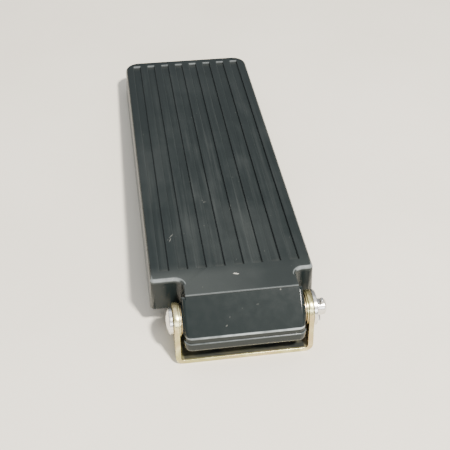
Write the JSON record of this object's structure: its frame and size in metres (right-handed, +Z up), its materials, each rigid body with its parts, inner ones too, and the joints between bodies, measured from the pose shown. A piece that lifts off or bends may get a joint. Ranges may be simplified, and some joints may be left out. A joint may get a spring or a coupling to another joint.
{
  "type": "floor-hinged foot treadle",
  "caption": "Foot treadle: ribbed black moulded tread that swings on a headed pin in a bent steel floor bracket, with flanged bushes, washers, split pin, push plate and rubber buttons.",
  "frame": {"origin": "the point on the floor straight below the middle of the hinge pin, halfway between the bracket's ears", "axes": "+X to the right along the hinge pin, away from its head; +Y from the hinge towards the toe; +Z up from the floor"},
  "size_m": [0.0823, 0.2354, 0.0322],
  "materials": {
    "moulding": "satin black moulding, glossier on its rounded edges",
    "zinc_yellow": "yellow passivated zinc plate",
    "zinc_bright": "bright zinc plate",
    "split_wire": "drawn steel wire",
    "bush_bronze": "sintered bronze",
    "plate_steel": "plain rolled steel, rubbed bright",
    "rivet_aluminium": "pressed aluminium",
    "button_rubber": "matt black rubber"
  },
  "bodies": {
    "bracket": {"floor_bracket": "zinc_yellow", "left_thrust_washer": "zinc_yellow", "right_thrust_washer": "zinc_yellow"},
    "treadle": {"treadle_shell": "moulding", "left_hinge_bush": "bush_bronze", "right_hinge_bush": "bush_bronze", "push_plate": "plate_steel", "push_plate_rivets": "rivet_aluminium", "toe_buttons": "button_rubber"},
    "pin": {"hinge_pin": "zinc_bright", "split_pin": "split_wire", "outer_washer": "zinc_bright"}
  },
  "joints": [
    {"name": "treadle_hinge", "type": "hinge", "parent": "bracket", "child": "treadle", "pos_m": [0, 0, 0.0183], "axis": [1, 0, 0], "range_deg": [0, 90]},
    {"name": "pin_spin", "type": "hinge", "parent": "bracket", "child": "pin", "pos_m": [0, 0, 0.0183], "axis": [1, 0, 0], "continuous": true}
  ]
}
